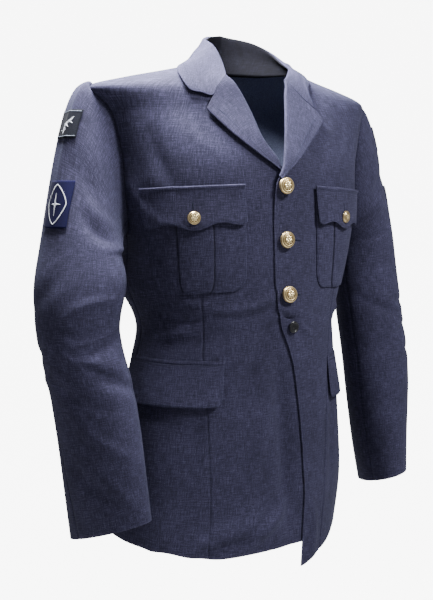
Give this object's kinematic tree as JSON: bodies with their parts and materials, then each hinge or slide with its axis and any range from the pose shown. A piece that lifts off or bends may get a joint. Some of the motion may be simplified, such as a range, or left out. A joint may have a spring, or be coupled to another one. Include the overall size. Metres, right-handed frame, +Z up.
{
  "type": "dress uniform jacket",
  "caption": "Single-breasted wool dress uniform jacket in worn form, with notched lapels, pleated breast pockets, hip flaps, domed brass buttons and sleeve badges.",
  "frame": {"origin": "on the body's centre line at the height of the neck points, where the wearer's shoulders carry the jacket", "axes": "+X to the wearer's left, -Y to the front, +Z up"},
  "size_m": [0.6588, 0.2763, 0.8135],
  "materials": {
    "wool": "blue-grey worsted wool twill, marled, soft matt",
    "brass": "polished gilt",
    "dark_plastic": "satin black",
    "grey_badge": "dark grey-green felt with pale stitching",
    "navy_badge": "navy felt with pale embroidery"
  },
  "bodies": {
    "root": {"left_front": "wool", "left_back": "wool", "left_top_sleeve": "wool", "left_under_sleeve": "wool", "left_lapel": "wool", "left_breast_pocket": "wool", "left_breast_flap": "wool", "left_hip_flap": "wool", "left_hip_welt": "wool", "right_front": "wool", "right_back": "wool", "right_top_sleeve": "wool", "right_under_sleeve": "wool", "right_lapel": "wool", "right_breast_pocket": "wool", "right_breast_flap": "wool", "right_hip_flap": "wool", "right_hip_welt": "wool", "collar": "wool", "vent_underlap": "wool", "front_button_1": "brass", "front_button_2": "brass", "front_button_3": "brass", "left_pocket_button": "brass", "right_pocket_button": "brass", "waist_button": "dark_plastic", "left_shoulder_badge": "grey_badge", "left_sleeve_badge": "navy_badge", "right_shoulder_badge": "grey_badge", "right_sleeve_badge": "navy_badge"}
  },
  "joints": []
}
